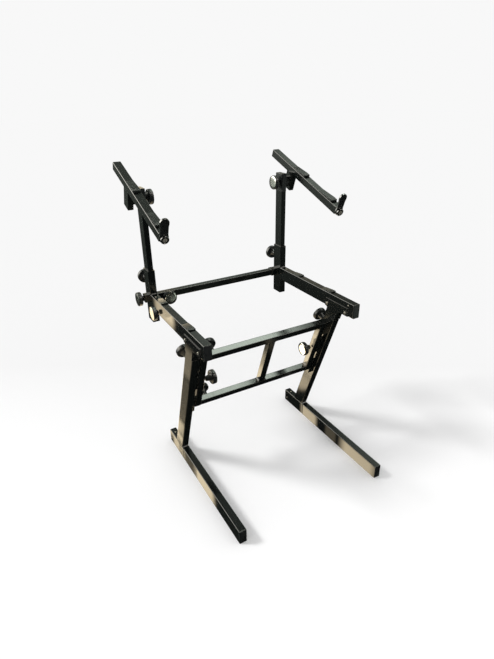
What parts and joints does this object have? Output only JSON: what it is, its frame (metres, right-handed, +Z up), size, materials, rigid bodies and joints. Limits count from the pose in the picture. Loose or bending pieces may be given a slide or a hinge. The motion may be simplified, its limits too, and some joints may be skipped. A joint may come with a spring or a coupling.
{
  "type": "two-tier keyboard stand",
  "caption": "Black steel tube stand with leaning legs, a ladder brace, level lower arms and tilting upper arms on posts, all set with round clamp knobs.",
  "frame": {"origin": "on the floor, at the middle of the stand's bounding box", "axes": "+X to the player's right, +Y away from the player towards the posts, +Z up"},
  "size_m": [0.689, 0.8028, 1.0988],
  "materials": {
    "outer_tube": "satin black paint",
    "inner_tube": "satin black paint with slide wear",
    "knob": "moulded black plastic",
    "pad": "matte black rubber",
    "end_cap": "moulded black plastic",
    "stop": "smooth black plastic",
    "screw": "dull zinc-plated steel"
  },
  "bodies": {
    "right_frame": {"foot_sleeve_right": "outer_tube", "foot_right": "inner_tube", "foot_cap_right": "end_cap", "leg_right": "outer_tube", "upright_right": "outer_tube", "upper_rail": "outer_tube", "lower_rail": "outer_tube", "rung": "outer_tube"},
    "left_frame": {"foot_sleeve_left": "outer_tube", "foot_left": "inner_tube", "foot_cap_left": "end_cap", "leg_left": "outer_tube", "upright_left": "outer_tube", "upper_rail_slide": "inner_tube", "lower_rail_slide": "inner_tube"},
    "right_deck": {"t_bracket_right": "inner_tube", "arm_right": "outer_tube", "arm_cap_right": "end_cap", "arm_pad_rear_right": "pad", "arm_pad_front_right": "pad", "post_sleeve_right": "outer_tube", "crossbar": "outer_tube"},
    "left_deck": {"t_bracket_left": "inner_tube", "arm_left": "outer_tube", "arm_cap_left": "end_cap", "arm_pad_rear_left": "pad", "arm_pad_front_left": "pad", "post_sleeve_left": "outer_tube", "crossbar_slide": "inner_tube"},
    "left_mast": {"post_left": "inner_tube", "pivot_block_left": "end_cap"},
    "left_cradle": {"hanger_left": "outer_tube", "upper_arm_left": "outer_tube", "upper_pad_rear_left": "pad", "upper_pad_front_left": "pad", "stop_screw_left": "screw"},
    "left_stop": {"stop_left": "stop"},
    "right_mast": {"post_right": "inner_tube", "pivot_block_right": "end_cap"},
    "right_cradle": {"hanger_right": "outer_tube", "upper_arm_right": "outer_tube", "upper_pad_rear_right": "pad", "upper_pad_front_right": "pad", "stop_screw_right": "screw"},
    "right_stop": {"stop_right": "stop"},
    "leg_knob_left": {"leg_knob_left": "knob"},
    "ladder_knob_left": {"ladder_knob_left": "knob"},
    "post_knob_left": {"post_knob_left": "knob"},
    "tilt_knob_left": {"tilt_knob_left": "knob"},
    "leg_knob_right": {"leg_knob_right": "knob"},
    "ladder_knob_right": {"ladder_knob_right": "knob"},
    "post_knob_right": {"post_knob_right": "knob"},
    "tilt_knob_right": {"tilt_knob_right": "knob"},
    "upper_rail_knob": {"upper_rail_knob": "knob"},
    "lower_rail_knob": {"lower_rail_knob": "knob"},
    "post_side_knob": {"post_side_knob": "knob"},
    "corner_knob_outer": {"corner_knob_outer": "knob"},
    "crossbar_knob": {"crossbar_knob": "knob"}
  },
  "joints": [
    {"name": "width_slide", "type": "slide", "parent": "right_frame", "child": "left_frame", "axis": [-1, 0, 0], "range_m": [0, 0.15]},
    {"name": "deck_height", "type": "slide", "parent": "right_frame", "child": "right_deck", "axis": [0, -0.342, 0.9397], "range_m": [0, 0.2]},
    {"name": "deck_width", "type": "slide", "parent": "right_deck", "child": "left_deck", "axis": [-1, 0, 0], "range_m": [0, 0.15]},
    {"name": "left_mast_height", "type": "slide", "parent": "left_deck", "child": "left_mast", "axis": [0, 0, 1], "range_m": [-0.03, 0.1]},
    {"name": "left_tilt", "type": "hinge", "parent": "left_mast", "child": "left_cradle", "pos_m": [-0.31075, 0.28964, 0.988], "axis": [1, 0, 0], "range_deg": [-25, 20]},
    {"name": "left_stop_turn", "type": "hinge", "parent": "left_cradle", "child": "left_stop", "pos_m": [-0.3295, -0.02361, 0.92527], "axis": [0, -0.9361, -0.3518], "range_deg": [-90, 90]},
    {"name": "right_mast_height", "type": "slide", "parent": "right_deck", "child": "right_mast", "axis": [0, 0, 1], "range_m": [-0.03, 0.1]},
    {"name": "right_tilt", "type": "hinge", "parent": "right_mast", "child": "right_cradle", "pos_m": [0.31075, 0.28964, 0.988], "axis": [1, 0, 0], "range_deg": [-25, 20]},
    {"name": "right_stop_turn", "type": "hinge", "parent": "right_cradle", "child": "right_stop", "pos_m": [0.3295, -0.02361, 0.92527], "axis": [0, -0.9361, -0.3518], "range_deg": [-90, 90]},
    {"name": "leg_knob_left_turn", "type": "hinge", "parent": "left_frame", "child": "leg_knob_left", "pos_m": [-0.289, -0.01057, 0.52054], "axis": [0, 0.9397, 0.342], "continuous": true},
    {"name": "ladder_knob_left_turn", "type": "hinge", "parent": "left_frame", "child": "ladder_knob_left", "pos_m": [-0.2075, -0.0287, 0.40369], "axis": [1, 0, 0], "continuous": true},
    {"name": "post_knob_left_turn", "type": "hinge", "parent": "left_deck", "child": "post_knob_left", "pos_m": [-0.289, 0.34414, 0.68297], "axis": [0, 1, 0], "continuous": true},
    {"name": "tilt_knob_left_turn", "type": "hinge", "parent": "left_mast", "child": "tilt_knob_left", "pos_m": [-0.2655, 0.28964, 0.988], "axis": [1, 0, 0], "continuous": true},
    {"name": "leg_knob_right_turn", "type": "hinge", "parent": "right_frame", "child": "leg_knob_right", "pos_m": [0.289, -0.01057, 0.52054], "axis": [0, 0.9397, 0.342], "continuous": true},
    {"name": "ladder_knob_right_turn", "type": "hinge", "parent": "right_frame", "child": "ladder_knob_right", "pos_m": [0.2075, -0.0287, 0.40369], "axis": [-1, 0, 0], "continuous": true},
    {"name": "post_knob_right_turn", "type": "hinge", "parent": "right_deck", "child": "post_knob_right", "pos_m": [0.289, 0.34414, 0.68297], "axis": [0, 1, 0], "continuous": true},
    {"name": "tilt_knob_right_turn", "type": "hinge", "parent": "right_mast", "child": "tilt_knob_right", "pos_m": [0.2655, 0.28964, 0.988], "axis": [-1, 0, 0], "continuous": true},
    {"name": "upper_rail_knob_turn", "type": "hinge", "parent": "right_frame", "child": "upper_rail_knob", "pos_m": [-0.207, -0.03237, 0.53219], "axis": [0, 0.9397, 0.342], "continuous": true},
    {"name": "lower_rail_knob_turn", "type": "hinge", "parent": "right_frame", "child": "lower_rail_knob", "pos_m": [-0.207, 0.05109, 0.3029], "axis": [0, 0.9397, 0.342], "continuous": true},
    {"name": "post_side_knob_turn", "type": "hinge", "parent": "left_deck", "child": "post_side_knob", "pos_m": [-0.328, 0.29864, 0.61497], "axis": [-1, 0, 0], "continuous": true},
    {"name": "corner_knob_outer_turn", "type": "hinge", "parent": "left_deck", "child": "corner_knob_outer", "pos_m": [-0.3195, 0.16664, 0.60597], "axis": [-1, 0, 0], "continuous": true},
    {"name": "crossbar_knob_turn", "type": "hinge", "parent": "right_deck", "child": "crossbar_knob", "pos_m": [-0.23, 0.26315, 0.61497], "axis": [0, -1, 0], "continuous": true}
  ],
  "couplings": [
    {"joint": "deck_width", "follows": "width_slide", "ratio": 1}
  ]
}
